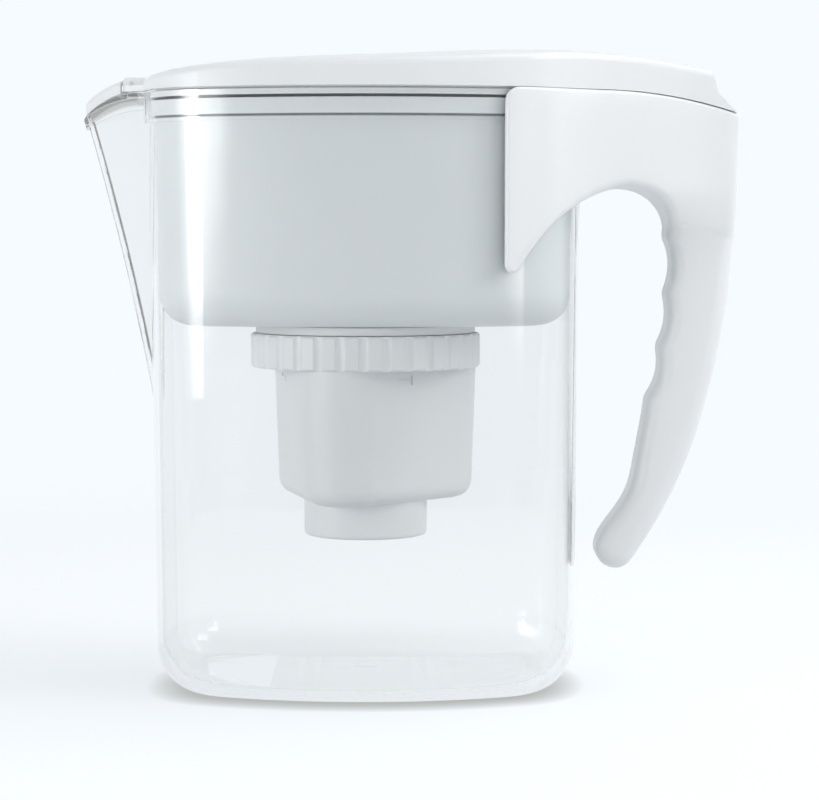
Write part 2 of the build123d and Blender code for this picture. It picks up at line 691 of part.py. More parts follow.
def lid_shell():
    """White domed lid with its plug ring, front shelf, hinge ears and rear tail."""
    crown = crown_block()
    bottom = LID_Z - TAIL_DEPTH
    shell = outline_block(bottom, LID_Z + NEAR, RIM_STEP, tail_out=RIM_STEP) & crown
    shell -= behind_tail()
    shell -= below_parting(LID_GAP - PARTING_LIFT)
    top_edges = [e for e in shell.edges() if e.bounding_box().min.Z > LID_Z + LID_EDGE]
    shell = fillet(top_edges, LID_EDGE)
    inside = RIM_STEP - LID_WALL
    hollow = outline_block(bottom - OVERCUT, LID_Z + NEAR, inside, tail_out=RIM_STEP)
    hollow &= Pos(0, 0, -LID_WALL) * crown
    hollow -= behind_tail(LID_WALL)
    shell -= hollow
    plug_out = POCKET - PLUG_CLEARANCE
    flange_top = LEDGE_Z + LIFT_GAP + FLANGE_HEIGHT
    plug = outline_block(flange_top + PLUG_LIFT, LID_Z + LID_LEDGE, plug_out)
    ledge = outline_block(LID_Z, LID_Z + LID_LEDGE, RIM_STEP - LID_WALL / 2)
    well = outline_block(flange_top, LID_Z + LID_LEDGE + OVERCUT, plug_out - PLUG_WALL)
    shell += plug + ledge - well
    shelf = Pos(0, 0, LID_Z - JUG_HEIGHT) * extrude(spout_section(1.0, SHELF_GROWTH), SHELF_THICKNESS)
    shelf_x = FRONT_X - RIM_STEP - SHELF_LENGTH
    shelf &= Pos(shelf_x + FAR / 2, 0, JUG_HEIGHT) * Box(FAR, FAR, FAR)
    shelf -= outline_block(LID_Z - OVERCUT, LID_Z + NEAR, RIM_STEP - LID_WALL / 2)
    shell += [shelf] + lid_ears(LID_Z, HINGE_Z + EAR_TOP)
    clear = BARREL_RADIUS + 2 * EAR_GAP
    notch_width = 2 * (BARREL_HALF_WIDTH + EAR_GAP)
    notch_x = HINGE_X + clear - FAR / 2
    shell -= Pos(notch_x, 0, HINGE_Z) * Box(FAR, notch_width, NOTCH_HEIGHT)
    shell -= Pos(HINGE_X, 0, HINGE_Z) * Rot(90, 0, 0) * Cylinder(PIN_RADIUS, FAR)
    ridge_x = BACK_X - RIDGE_FROM_END
    ridge_z = crown_height(crown, ridge_x) - RIDGE_SINK
    ridge = Rot(90, 0, 0) * Cylinder(RIDGE_RADIUS, 2 * RIDGE_HALF_WIDTH)
    ridge = fillet(ridge.edges().filter_by(GeomType.CIRCLE), RIDGE_EDGE)
    return shell + Pos(ridge_x, 0, ridge_z) * ridge


def crown_height(crown, x):
    """Height of the crown on the centre line at x."""
    probe = Pos(x, 0, JUG_HEIGHT) * Box(TOUCH, TOUCH, 2 * NEAR)
    return (crown & probe).bounding_box().max.Z


def flap_plan(inset=0.0):
    """Plan of the flap in front of the lid's shelf, moved inwards by inset."""
    back_x = FRONT_X - RIM_STEP - SHELF_LENGTH - FLAP_SPLIT - inset
    whole = Pos(0, 0, JUG_HEIGHT) * beak(FRONT_X, FLAP_REACH, FLAP_SPREAD, FLAP_GROWTH - inset)
    return whole & Pos(back_x - FAR / 2, 0, JUG_HEIGHT) * Box(FAR, FAR, OVERCUT)


def under_flap_top(lower=0.0):
    """Everything below the flap's arched top and in front of its hinge line."""
    root = (HINGE_X, HINGE_Z + BARREL_RADIUS - lower)
    middle = (HINGE_X + FLAP_ARCH[0][0], HINGE_Z + FLAP_ARCH[0][1] - lower)
    tip = (HINGE_X + FLAP_ARCH[1][0], HINGE_Z + FLAP_ARCH[1][1] - lower)
    edges = [
        ThreePointArc(root, middle, tip),
        Line(tip, (tip[0], 0)),
        Line((tip[0], 0), (HINGE_X, 0)),
        Line((HINGE_X, 0), root),
    ]
    return side_slab(make_face(edges))


def spout_flap():
    """Arched cover of the spout, hollow below, on a barrel that turns on the pin."""
    cover = extrude(flap_plan(), NEAR, both=True) & under_flap_top()
    cover &= above_spout_rim(FLAP_GAP)
    top_edges = cover.faces().sort_by(lambda f: f.normal_at().Z)[-1].edges()
    cover = fillet(top_edges.filter_by(lambda e: e.bounding_box().size.X > FLAP_WALL), FLAP_ROUND)
    hollow = extrude(flap_plan(FLAP_WALL), NEAR, both=True) & under_flap_top(FLAP_WALL)
    tongue = Pos(HINGE_X - NEAR / 2, 0, HINGE_Z) * Box(NEAR, 2 * BARREL_HALF_WIDTH, NEAR)
    tongue &= under_flap_top() - under_flap_top(FLAP_WALL)
    back_x = FRONT_X - RIM_STEP - SHELF_LENGTH - FLAP_SPLIT - FLAP_WALL
    tongue &= Pos(back_x + NEAR / 2, 0, HINGE_Z) * Box(NEAR, FAR, FAR)
    at = Pos(HINGE_X, 0, HINGE_Z) * Rot(90, 0, 0)
    barrel = at * Cylinder(BARREL_RADIUS, 2 * BARREL_HALF_WIDTH)
    bore = at * Cylinder(PIN_RADIUS + PIN_CLEARANCE, FAR)
    return cover - hollow + tongue + barrel - bore


def flap_pin():
    """Steel pin, held in the lid's ears."""
    length = 2 * (BARREL_HALF_WIDTH + EAR_GAP + EAR_WIDTH)
    return Pos(HINGE_X, 0, HINGE_Z) * Rot(90, 0, 0) * Cylinder(PIN_RADIUS, length)


def from_rim(start_x, places):
    """Turns places given from start_x and the rim into x and z."""
    return [(start_x + dx, JUG_HEIGHT + dz) for dx, dz in places]


def arch_places():
    """Places along the arch from the grip's front over its peak to the wing."""
    over = from_rim(REAR_X, [ARCH_PEAK, *ARCH_MIDDLE])
    return from_rim(BACK_X, ARCH_GRIP) + over + from_rim(WING_X, ARCH_WING)


def handle_profile():
    """Side view of the whole handle: wing, arch, finger grip and back."""
    start, middle, end = parting_points()
    top_left = (WING_X, start[1])
    wing_tip = (WING_X, JUG_HEIGHT - WING_DROP)
    back = from_rim(BACK_X, BACK_PLACES)
    heel, *inner_places = from_rim(BACK_X, [HEEL, *INNER_PLACES])
    back_edge = [Line(end, back[0])]
    back_edge.append(Spline(*back, tangents=[back_edge[0] % 1, BACK_LEAN]))
    back_edge.append(TangentArc(back_edge[1] @ 1, heel, tangent=back_edge[1] % 1))
    inner = Spline(heel, *inner_places, tangents=[back_edge[2] % 1, INNER_END_LEAN])
    edges = [Line(top_left, start), ThreePointArc(start, middle, end), *back_edge, inner]
    ridges = [inner @ 1]
    for hollow in GRIP_HOLLOWS:
        places = from_rim(BACK_X, hollow)
        edges.append(ThreePointArc(ridges[-1], *places))
        ridges.append(Vector(*places[1]))
    arch = Spline(ridges[-1], *arch_places())
    edges += [arch, TangentArc(wing_tip, arch @ 1, tangent=(0, -1)), Line(wing_tip, top_left)]
    face = make_face(edges)
    face = fillet([nearest(face.vertices(), place) for place in ridges], RIDGE_ROUND)
    return fillet(nearest(face.vertices(), Vector(*top_left)), WING_CORNER)


def nearest(vertices, place):
    """The vertex nearest to a place."""
    return min(vertices, key=lambda v: (Vector(v.X, v.Y) - place).length)


def splined(face):
    """The same face with its offset curves redrawn as splines."""
    edges = []
    for edge in face.edges():
        if edge.geom_type in (GeomType.LINE, GeomType.CIRCLE):
            edges.append(edge)
            continue
        steps = max(4, round(edge.length / SPLINE_STEP))
        places = [edge @ (i / steps) for i in range(steps + 1)]
        edges.append(Spline(*places, tangents=[edge % 0, edge % 1]))
    return make_face(edges)


def arm_side(x, z):
    """Half the arm's width at x and z, behind the jug."""
    corner, leave_radius, draw_in = tail_arcs(z * RISE + WING_OUT, WING_OUT)
    reach = (draw_in - corner).length - leave_radius
    return draw_in.Y - math.sqrt(reach**2 - (draw_in.X - x) ** 2)


def beside_grip(inset=0.0):
    """What lies beside the grip, up to a flare that runs out smoothly into the arm's sides."""
    half = GRIP_HALF_WIDTH - inset
    low_z = JUG_HEIGHT - FLARE_BELOW_RIM
    top_z = low_z + FLARE_HEIGHT
    start_x = REAR_X + ARCH_PEAK[0] - inset
    step = (BACK_X + TAIL_SPARE - start_x) / (FLARE_STATIONS - 1)
    sections = []
    for station in range(FLARE_STATIONS):
        x = start_x + station * step
        side = arm_side(x, top_z) + FLARE_PAST_SIDE - inset
        edges = [
            Spline((-half, low_z), (-side, top_z), tangents=[(0, 1), (0, 1)]),
            Line((-side, top_z), (-FAR, top_z)),
            Line((-FAR, top_z), (-FAR, low_z)),
            Line((-FAR, low_z), (-half, low_z)),
        ]
        sections.append(Plane((x, 0, 0), x_dir=(0, 1, 0), z_dir=(1, 0, 0)) * make_face(edges))
    below = [(start_x, low_z), (WING_X, JUG_HEIGHT - GRIP_TOP)]
    boxes = [Pos(x + FAR / 2, -half - FAR / 2, z - FAR / 2) * Box(FAR, FAR, FAR) for x, z in below]
    return loft(sections) + boxes


def handle_block(inset=0.0):
    """The near half of the handle as one solid, or the space inside it when inset."""
    profile = handle_profile()
    if inset:
        profile = splined(offset(profile, -inset))
    low_z = JUG_HEIGHT - HANDLE_DEPTH
    top = JUG_HEIGHT + NEAR
    body = extrude(Plane.XZ.offset(-inset) * profile, FAR)
    body &= outline_block(low_z, top, WING_OUT - inset, tail_out=WING_OUT)
    body -= beside_grip(inset)
    band_z = LEDGE_Z - JUG_WALL - WING_GAP
    body -= outline_block(0, band_z, WING_GAP + inset)
    return body - outline_block(band_z - inset, top, RIM_STEP + WING_GAP + inset)


def rounded_handle():
    """The outside of the near half with its grip, back and wing edges rounded."""
    flare_z = JUG_HEIGHT - FLARE_BELOW_RIM
    grip_x = arch_places()[0][0]
    wall_middle = (RIM_STEP + WING_GAP + WING_OUT) / 2
    within_wing = outline_block(-NEAR, JUG_HEIGHT + NEAR, wall_middle)

    def on_grip(edge, low, high):
        sides = (low.Y + GRIP_HALF_WIDTH, high.Y + GRIP_HALF_WIDTH)
        return max(abs(y) for y in sides) < TOUCH and low.Z < flare_z - TOUCH

    def on_back(edge, low, high):
        behind = low.X > BACK_X - BACK_ROUND and high.Y < -GRIP_HALF_WIDTH
        return behind and high.Z > flare_z + 2 * BACK_ROUND

    def on_wing(edge, low, high):
        seam = high.X - low.X < WING_ROUND and low.X > WING_X + WING_ROUND
        before_grip = high.X < grip_x or low.Z > LEDGE_Z
        if seam or not before_grip or high.Y > -GRIP_HALF_WIDTH - TOUCH:
            return False
        return not within_wing.is_inside(edge @ 0.5)

    body = handle_block()
    for test, radius in ((on_grip, GRIP_ROUND), (on_back, BACK_ROUND), (on_wing, WING_ROUND)):
        boxes = [(edge, edge.bounding_box()) for edge in body.edges()]
        body = fillet([edge for edge, box in boxes if test(edge, box.min, box.max)], radius)
    return body


def screw_places():
    """Where the four screws go through the handle, in x and z."""
    return from_rim(REAR_X, [LUG_SCREW]) + from_rim(BACK_X, GRIP_SCREWS)


def along_y(radius, start, end, x, z):
    """A cylinder along Y from start to end."""
    return Pos(x, (start + end) / 2, z) * Rot(90, 0, 0) * Cylinder(radius, end - start)


def handle_parts():
    """The handle's two hollow mouldings, which meet on the centre plane round the jug's
    lug, and the plugs that close the screw wells."""
    shell = rounded_handle() - handle_block(HANDLE_WALL)
    core = handle_block(HANDLE_WALL / 2)
    boss = SCREW_RADIUS + PILOT_CLEARANCE
    far_y = 2 * NEAR
    places = screw_places()
    near_posts = [along_y(BOSS_WALL + boss, -far_y, 0, *place) for place in places]
    pilots = [along_y(boss, -THREAD_REACH - OVERCUT, OVERCUT, *place) for place in places]
    far_posts = [along_y(BOSS_WALL + WELL_RADIUS, 0, far_y, *place) for place in places]
    shanks = [along_y(SCREW_RADIUS + SHANK_CLEARANCE, -OVERCUT, far_y, *place) for place in places]
    wells = [along_y(WELL_RADIUS, SEAT_DEPTH, far_y, *place) for place in places]
    plugs = [along_y(WELL_RADIUS - PLUG_FIT, SEAT_DEPTH, far_y, *place) for place in places]
    far_shell = mirror(shell, about=Plane.XZ)
    far_core = mirror(core, about=Plane.XZ)
    slot_z = JUG_HEIGHT - LUG_BELOW_RIM - LUG_HEIGHT / 2
    slot_size = (4 * HANDLE_WALL, LUG_WEB + 2 * LUG_CLEARANCE, LUG_HEIGHT + 2 * LUG_CLEARANCE)
    slot = Pos(REAR_X + HANDLE_WALL, 0, slot_z) * Box(*slot_size)
    return {
        "handle_near_half": shell + [post & core for post in near_posts] - pilots - slot,
        "handle_far_half": far_shell + [post & far_core for post in far_posts] - shanks - wells - slot,
        "screw_plugs": Compound([far_shell & plug for plug in plugs]),
    }


def handle_screws():
    """Four screws that draw the halves together, driven in from the far side."""
    screws = []
    for x, z in screw_places():
        shank = along_y(SCREW_RADIUS, -THREAD_REACH, SEAT_DEPTH, x, z)
        head = along_y(SCREW_HEAD, SEAT_DEPTH, SEAT_DEPTH + HEAD_HEIGHT, x, z)
        head = fillet(head.edges().sort_by(Axis.Y)[-1], HEAD_HEIGHT / 3)
        arms = [(RECESS_LENGTH, HEAD_HEIGHT, RECESS_WIDTH), (RECESS_WIDTH, HEAD_HEIGHT, RECESS_LENGTH)]
        cross = [Pos(x, SEAT_DEPTH + HEAD_HEIGHT, z) * Box(*arm) for arm in arms]
        screws.append(shank + head - cross)
    return Compound(screws)


if __name__ == "__main__":
    os.makedirs("parts", exist_ok=True)
    nodes = {
        "jug_body": jug_body(),
        "handle_screws": handle_screws(),
        "reservoir": reservoir(),
        "gasket": gasket(),
        "cartridge_collar": cartridge_collar(),
        "inlet_grille": inlet_grille(),
        "cartridge_housing": cartridge_housing(),
        "lid_shell": lid_shell(),
        "spout_flap": spout_flap(),
        "flap_pin": flap_pin(),
    }
    for name, shape in {**nodes, **handle_parts(), **filter_stack()}.items():
        export_step(shape, f"parts/{name}.step")
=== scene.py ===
import bmesh
import bpy
import math
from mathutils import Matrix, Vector


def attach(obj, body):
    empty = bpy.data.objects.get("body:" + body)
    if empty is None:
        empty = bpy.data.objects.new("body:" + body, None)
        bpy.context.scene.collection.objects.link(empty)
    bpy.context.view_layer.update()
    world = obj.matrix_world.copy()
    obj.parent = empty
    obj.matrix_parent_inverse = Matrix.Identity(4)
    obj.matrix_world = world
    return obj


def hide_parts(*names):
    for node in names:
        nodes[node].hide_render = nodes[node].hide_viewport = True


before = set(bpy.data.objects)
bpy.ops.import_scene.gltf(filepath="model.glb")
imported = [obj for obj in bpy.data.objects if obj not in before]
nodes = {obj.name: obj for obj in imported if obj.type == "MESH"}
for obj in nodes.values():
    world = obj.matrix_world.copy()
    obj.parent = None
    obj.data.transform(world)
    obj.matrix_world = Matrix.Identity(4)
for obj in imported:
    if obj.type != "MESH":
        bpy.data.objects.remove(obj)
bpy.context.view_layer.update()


# Jug
# The body is one clear styrene moulding with polished walls, a rim band and a beak spout.
# It carries everything else: the reservoir hangs in its mouth and the handle grips its back.
# Every size is in metres from the middle of its base, with the spout towards -X and +Z up.
NOISE_MIDDLE = (0.25, 0.75)
CLEAR_IOR = 1.5
CLEAR_ROUGHNESS = (0.015, 0.03)
POLISH_SIZE = 0.03
CLEAR_FLOW_SIZE, CLEAR_FLOW_DEPTH = 0.045, 0.0002
CLEAR_FINE_SIZE, CLEAR_FINE_DEPTH = 0.004, 0.000004
DEEPEST_BEND = 3.5
CLEAR_SHADE = (0.99, 0.99, 0.99, 1)
EDGE_SHADE = (0.02, 0.02, 0.02, 1)
EDGE_BLEND = 0.08
CLEAR_TINT = (0.957, 0.96, 0.958, 1)
SPOUT_ROOT_X, SPOUT_LIP_LENGTH = -0.0878, 0.0268
SPOUT_FOOT, SPOUT_DEPTH = 0.112, 0.1236
# Painted shade: a dark brownish line along the inside of the spout's keel, in place of its dark
# refraction.
KEEL_PAINTED_SHADE = (0.07, 0.055, 0.045, 1)
KEEL_CURVE = (-0.0824, -0.0213, -0.0076)
KEEL_LINE = (0.0013, 0.0010)
KEEL_HEIGHTS = (0.118, 0.135, 0.226)
KEEL_INNER_HALF = 0.0026
# Painted shade: a grey band just under the spout's lip, in place of the dark refraction seen
# through it.
LIP_PAINTED_SHADE = (0.64, 0.63, 0.61, 1)
LIP_CURVE = (0.2356, 0.0018, -0.0152)
LIP_BAND = (0.0038, 0.00304)
# Painted shade: fine dark lines at the top and the foot of the rim band, for the shadowed gap and
# the ledge's dark refraction.
RIM_PAINTED_SHADE = (0.28, 0.30, 0.31, 1)
RIM_LINE_HEIGHTS = (0.2354, 0.2252)
RIM_LINE = (0.0006, 0.0003)
RIM_LINE_START = -0.0796


def new_finish(name):
    """A new material with its node tree and Principled shader."""
    finish = bpy.data.materials.new(name)
    finish.use_nodes = True
    return finish, finish.node_tree, finish.node_tree.nodes["Principled BSDF"]


def set_values(node, **values):
    """Sets a node's own inputs by name, with _ for a space."""
    for socket, value in values.items():
        node.inputs[socket.replace("_", " ")].default_value = value


def add(tree, kind, **values):
    """A new node with its inputs set by name."""
    node = tree.nodes.new(kind)
    set_values(node, **values)
    return node


def feed(tree, node, *values):
    """Gives a node's first inputs, in their order, a plain value or another node's output."""
    for socket, value in zip(node.inputs, values):
        if isinstance(value, bpy.types.NodeSocket):
            tree.links.new(value, socket)
        else:
            socket.default_value = value


def noise(tree, size, detail=2.0):
    """Noise on object coordinates whose features are about size metres across."""
    place = add(tree, "ShaderNodeTexCoord").outputs["Object"]
    texture = add(tree, "ShaderNodeTexNoise", Scale=1 / size, Detail=detail)
    tree.links.new(place, texture.inputs["Vector"])
    return texture.outputs["Fac"]


def between(tree, value, low, high):
    """The middle half of a noise spread from low to high."""
    spread = add(tree, "ShaderNodeMapRange")
    feed(tree, spread, value, *NOISE_MIDDLE, low, high)
    return spread.outputs["Result"]


def faded(tree, value, none, full, smooth=False):
    """0 where the value is at none, 1 where it is at full, and a slope between them."""
    spread = add(tree, "ShaderNodeMapRange")
    if smooth:
        spread.interpolation_type = "SMOOTHSTEP"
    feed(tree, spread, value, none, full)
    return spread.outputs["Result"]


def relief(tree, height, depth, under=None):
    """A bump of that depth in metres, on top of the one under it."""
    bump = add(tree, "ShaderNodeBump", Strength=1.0, Distance=depth)
    tree.links.new(height, bump.inputs["Height"])
    if under:
        tree.links.new(under, bump.inputs["Normal"])
    return bump.outputs["Normal"]


def worked_out(tree, operation, first, second=0.0):
    """One step of arithmetic on values or plain numbers."""
    step = add(tree, "ShaderNodeMath")
    step.operation = operation
    feed(tree, step, first, second)
    return step.outputs["Value"]


def product(tree, first, *others):
    """All the values multiplied."""
    for value in others:
        first = worked_out(tree, "MULTIPLY", first, value)
    return first


def along_curve(tree, share, start, slope, bend):
    """start + slope * share + bend * share squared."""
    bent = product(tree, share, bend, share)
    straight = product(tree, share, slope)
    return worked_out(tree, "ADD", worked_out(tree, "ADD", bent, straight), start)


def close_to(tree, value, middle, none, full):
    """1 where the value is within full of the middle, and 0 where it is past none from it."""
    off = worked_out(tree, "ABSOLUTE", worked_out(tree, "SUBTRACT", value, middle))
    return faded(tree, off, none, full)


def blended(tree, share, first, second):
    """A share of the second colour over the first."""
    blend = add(tree, "ShaderNodeMixRGB")
    feed(tree, blend, share, first, second)
    return blend.outputs["Color"]


def mixed(tree, share, first, second):
    """A share of the second shader over the first."""
    mix = add(tree, "ShaderNodeMixShader")
    feed(tree, mix, share, first, second)
    return mix.outputs["Shader"]


def painted_keel_shade_share(tree, x, y, z):
    """1 along the inside of the spout's keel, where a dark line of painted shade stands in for the
    dark refraction there.
    """
    climb = worked_out(tree, "DIVIDE", worked_out(tree, "SUBTRACT", z, SPOUT_FOOT), SPOUT_DEPTH)
    line = close_to(tree, x, along_curve(tree, climb, *KEEL_CURVE), *KEEL_LINE)
    inside = worked_out(tree, "LESS_THAN", worked_out(tree, "ABSOLUTE", y), KEEL_INNER_HALF)
    low, full, top = KEEL_HEIGHTS
    above, below = faded(tree, z, low, full), worked_out(tree, "LESS_THAN", z, top)
    return product(tree, line, inside, above, below)


def painted_lip_shade_share(tree, x, z):
    """1 in the band just under the spout's curved lip, where a grey band of painted shade stands
    in for the dark refraction seen there.
    """
    ahead = worked_out(tree, "SUBTRACT", SPOUT_ROOT_X, x)
    lip_z = along_curve(tree, worked_out(tree, "DIVIDE", ahead, SPOUT_LIP_LENGTH), *LIP_CURVE)
    band = faded(tree, worked_out(tree, "SUBTRACT", lip_z, z), *LIP_BAND)
    return product(tree, band, worked_out(tree, "LESS_THAN", x, SPOUT_ROOT_X))


def painted_rim_shade_share(tree, x, z):
    """1 in the fine lines at the top and the foot of the rim band, which are painted shade for the
    shadowed gap under the lid and the dark refraction at the ledge.
    """
    top, foot = (close_to(tree, z, height, *RIM_LINE) for height in RIM_LINE_HEIGHTS)
    lines = worked_out(tree, "MAXIMUM", top, foot)
    return product(tree, lines, worked_out(tree, "GREATER_THAN", x, RIM_LINE_START))


def tint_with_painted_shade(tree):
    """The clear tint, with painted shade over it: a dark line inside the spout's keel, a grey band
    under its lip and fine dark lines at the rim band.
    """
    parts = add(tree, "ShaderNodeSeparateXYZ")
    feed(tree, parts, add(tree, "ShaderNodeTexCoord").outputs["Object"])
    x, y, z = parts.outputs
    colour = blended(tree, painted_keel_shade_share(tree, x, y, z), CLEAR_TINT, KEEL_PAINTED_SHADE)
    colour = blended(tree, painted_lip_shade_share(tree, x, z), colour, LIP_PAINTED_SHADE)
    return blended(tree, painted_rim_shade_share(tree, x, z), colour, RIM_PAINTED_SHADE)


def clear_finish(name):
    """Clear moulded plastic: lamps shine through it, and the eye sees it bend and mirror."""
    finish, tree, shader = new_finish(name)
    set_values(shader, Transmission_Weight=1.0, IOR=CLEAR_IOR)
    # The base colour carries the clear tint and the painted shade lines of the keel, lip and rim
    # band.
    tree.links.new(tint_with_painted_shade(tree), shader.inputs["Base Color"])
    gloss = between(tree, noise(tree, POLISH_SIZE), *CLEAR_ROUGHNESS)
    tree.links.new(gloss, shader.inputs["Roughness"])
    flow = relief(tree, noise(tree, CLEAR_FLOW_SIZE), CLEAR_FLOW_DEPTH)
    fine = relief(tree, noise(tree, CLEAR_FINE_SIZE), CLEAR_FINE_DEPTH, flow)
    tree.links.new(fine, shader.inputs["Normal"])
    path = add(tree, "ShaderNodeLightPath")
    unbent = worked_out(tree, "GREATER_THAN", path.outputs["Ray Depth"], DEEPEST_BEND)
    for ray in ("Is Shadow Ray", "Is Diffuse Ray"):
        unbent = worked_out(tree, "MAXIMUM", unbent, path.outputs[ray])
    facing = add(tree, "ShaderNodeLayerWeight", Blend=EDGE_BLEND)
    straight = add(tree, "ShaderNodeBsdfTransparent")
    feed(tree, straight, blended(tree, facing.outputs["Facing"], CLEAR_SHADE, EDGE_SHADE))
    surface = mixed(tree, unbent, shader.outputs["BSDF"], straight.outputs["BSDF"])
    tree.links.new(surface, tree.nodes["Material Output"].inputs["Surface"])
    return finish


def dress(finish, *names):
    """Gives CAD nodes a finish."""
    for name in names:
        for slot in nodes[name].material_slots:
            slot.material = finish


dress(clear_finish("clear_styrene"), "jug_body")


# Handle
# Two hollow white mouldings, screwed together round the lug on the jug's back. Above the
# grip each widens in one long curve into the arm. The plugs close the screw wells.
WHITE_DARK = (0.80, 0.815, 0.823)
WHITE_LIGHT = (0.83, 0.843, 0.85)
HANDLE_ROUGHNESS = 0.34
WHITE_GLOW = 0.1
WHITE_GRAIN = 0.000006
SHADE_STOPS = (0.3, 0.7)
SHADE_SIZE = 0.08
MOULDED_IOR = 1.5
SOAK_DEPTH = 0.002
GLOSS_SIZE, GLOSS_SPREAD = 0.02, 0.04
FLOW_SIZE, FLOW_DEPTH = 0.03, 0.0001
GRAIN_SIZE = 0.0006
GRIP_HALF_WIDTH = 0.0125
WIDENS_FROM, WIDENS_TO = 0.170, 0.198
WIDENS_PAST_SIDE = 0.006
ARM_START, ARM_END = 0.1028, 0.150
ARM_CURVE_CENTRE = (0.170662, 0.164229)
ARM_CURVE_RADIUS = 0.153991
ARM_CURVE_DRAFT = 0.0096
CUT_STEP_ALONG, CUT_STEP_UP = 0.004, 0.0014
CUT_TOLERANCE = 1e-7
WELD_DISTANCE = 1e-6
SHARP_ANGLE = math.radians(32)


def shades(tree, value, dark, light):
    """A colour that runs from dark to light with the value."""
    ramp = add(tree, "ShaderNodeValToRGB")
    for stop, place, colour in zip(ramp.color_ramp.elements, SHADE_STOPS, (dark, light)):
        stop.position = place
        stop.color = (*colour, 1)
    feed(tree, ramp, value)
    return ramp.outputs["Color"]


def moulded_finish(name, dark, light, roughness, glow, grain):
    """Opaque moulded plastic: soft flow marks, a fine texture and light that soaks in."""
    finish, tree, shader = new_finish(name)
    set_values(shader, IOR=MOULDED_IOR, Subsurface_Weight=glow)
    set_values(shader, Subsurface_Radius=(1, 1, 1), Subsurface_Scale=SOAK_DEPTH)
    tree.links.new(shades(tree, noise(tree, SHADE_SIZE), dark, light), shader.inputs["Base Color"])
    smoothest, dullest = roughness - GLOSS_SPREAD, roughness + GLOSS_SPREAD
    gloss = between(tree, noise(tree, GLOSS_SIZE), smoothest, dullest)
    tree.links.new(gloss, shader.inputs["Roughness"])
    flow = relief(tree, noise(tree, FLOW_SIZE), FLOW_DEPTH)
    texture = relief(tree, noise(tree, GRAIN_SIZE), grain, flow)
    tree.links.new(texture, shader.inputs["Normal"])
    return finish


def arm_half_width(x, z):
    """Half the arm's width, where its sides are hollow arcs that draw in to the grip."""
    centre_x, centre_y = ARM_CURVE_CENTRE
    radius = ARM_CURVE_RADIUS - ARM_CURVE_DRAFT * z
    return centre_y - math.sqrt(radius**2 - (centre_x - x) ** 2)


def eased_share(x, z):
    """How much narrower the arm is where its widening runs out smoothly into its sides."""
    climb = (z - WIDENS_FROM) / (WIDENS_TO - WIDENS_FROM)
    climb = climb * climb * (3 - 2 * climb)
    side = arm_half_width(x, z)
    past = arm_half_width(x, WIDENS_TO) + WIDENS_PAST_SIDE - GRIP_HALF_WIDTH
    plain = min(side, GRIP_HALF_WIDTH + past * climb)
    return (GRIP_HALF_WIDTH + (side - GRIP_HALF_WIDTH) * climb) / plain


def cut_across(mesh, direction, low, high, step):
    """Cuts the faces round the arm's widening along planes a step apart."""
    for count in range(int((high - low) / step) + 1):
        faces = [f for f in mesh.faces if max(v.co.x for v in f.verts) > ARM_START]
        faces = [f for f in faces if max(v.co.z for v in f.verts) > WIDENS_FROM]
        faces = [f for f in faces if min(v.co.z for v in f.verts) < WIDENS_TO]
        round_them = {e for f in faces for e in f.edges} | {v for f in faces for v in f.verts}
        plane = dict(plane_co=direction * (low + count * step), plane_no=direction)
        bmesh.ops.bisect_plane(mesh, geom=[*faces, *round_them], dist=CUT_TOLERANCE, **plane)


def eased_half(name):
    """The CAD half with its widening above the grip eased into one long curve."""
    source = nodes[name].data
    corners = [v.co for v in source.vertices]
    plain = bpy.data.meshes.new(name + "_eased")
    plain.from_pydata(corners, [], [list(p.vertices) for p in source.polygons])
    mesh = bmesh.new()
    mesh.from_mesh(plain)
    bmesh.ops.remove_doubles(mesh, verts=mesh.verts, dist=WELD_DISTANCE)
    cut_across(mesh, Vector((1, 0, 0)), ARM_START, ARM_END, CUT_STEP_ALONG)
    cut_across(mesh, Vector((0, 0, 1)), WIDENS_FROM, WIDENS_TO, CUT_STEP_UP)
    for vertex in mesh.verts:
        x, y, z = vertex.co
        if x > ARM_START and WIDENS_FROM < z < WIDENS_TO:
            vertex.co.y = y * eased_share(x, z)
    bmesh.ops.triangulate(mesh, faces=mesh.faces)
    mesh.to_mesh(plain)
    mesh.free()
    plain.shade_smooth()
    plain.set_sharp_from_angle(angle=SHARP_ANGLE)
    half = bpy.data.objects.new(name + "_eased", plain)
    bpy.context.scene.collection.objects.link(half)
    half.data.materials.append(white_finish)
    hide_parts(name)
    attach(half, "jug")


white_finish = moulded_finish(
    "white_abs", WHITE_DARK, WHITE_LIGHT, HANDLE_ROUGHNESS, WHITE_GLOW, WHITE_GRAIN
)
dress(white_finish, "screw_plugs")
eased_half("handle_near_half")
eased_half("handle_far_half")


# Handle screws
# Four pan-head steel screws with a cross recess, turned and polished bright. They enter from
# the far half and draw the near one to it. The flap's hinge pin is of the same steel.
STEEL_DARK = (0.52, 0.53, 0.54)
STEEL_LIGHT = (0.68, 0.69, 0.7)
STEEL_ROUGHNESS = (0.22, 0.38)
STREAK_SIZE, STREAK_DETAIL, STREAK_DEPTH = 0.0004, 4.0, 0.00001


def steel_finish():
    """Bright turned steel with fine streaks."""
    finish, tree, shader = new_finish("bright_steel")
    set_values(shader, Metallic=1.0)
    streaks = noise(tree, STREAK_SIZE, STREAK_DETAIL)
    tree.links.new(shades(tree, streaks, STEEL_DARK, STEEL_LIGHT), shader.inputs["Base Color"])
    tree.links.new(between(tree, streaks, *STEEL_ROUGHNESS), shader.inputs["Roughness"])
    tree.links.new(relief(tree, streaks, STREAK_DEPTH), shader.inputs["Normal"])
    return finish


dress(steel_finish(), "handle_screws", "flap_pin")


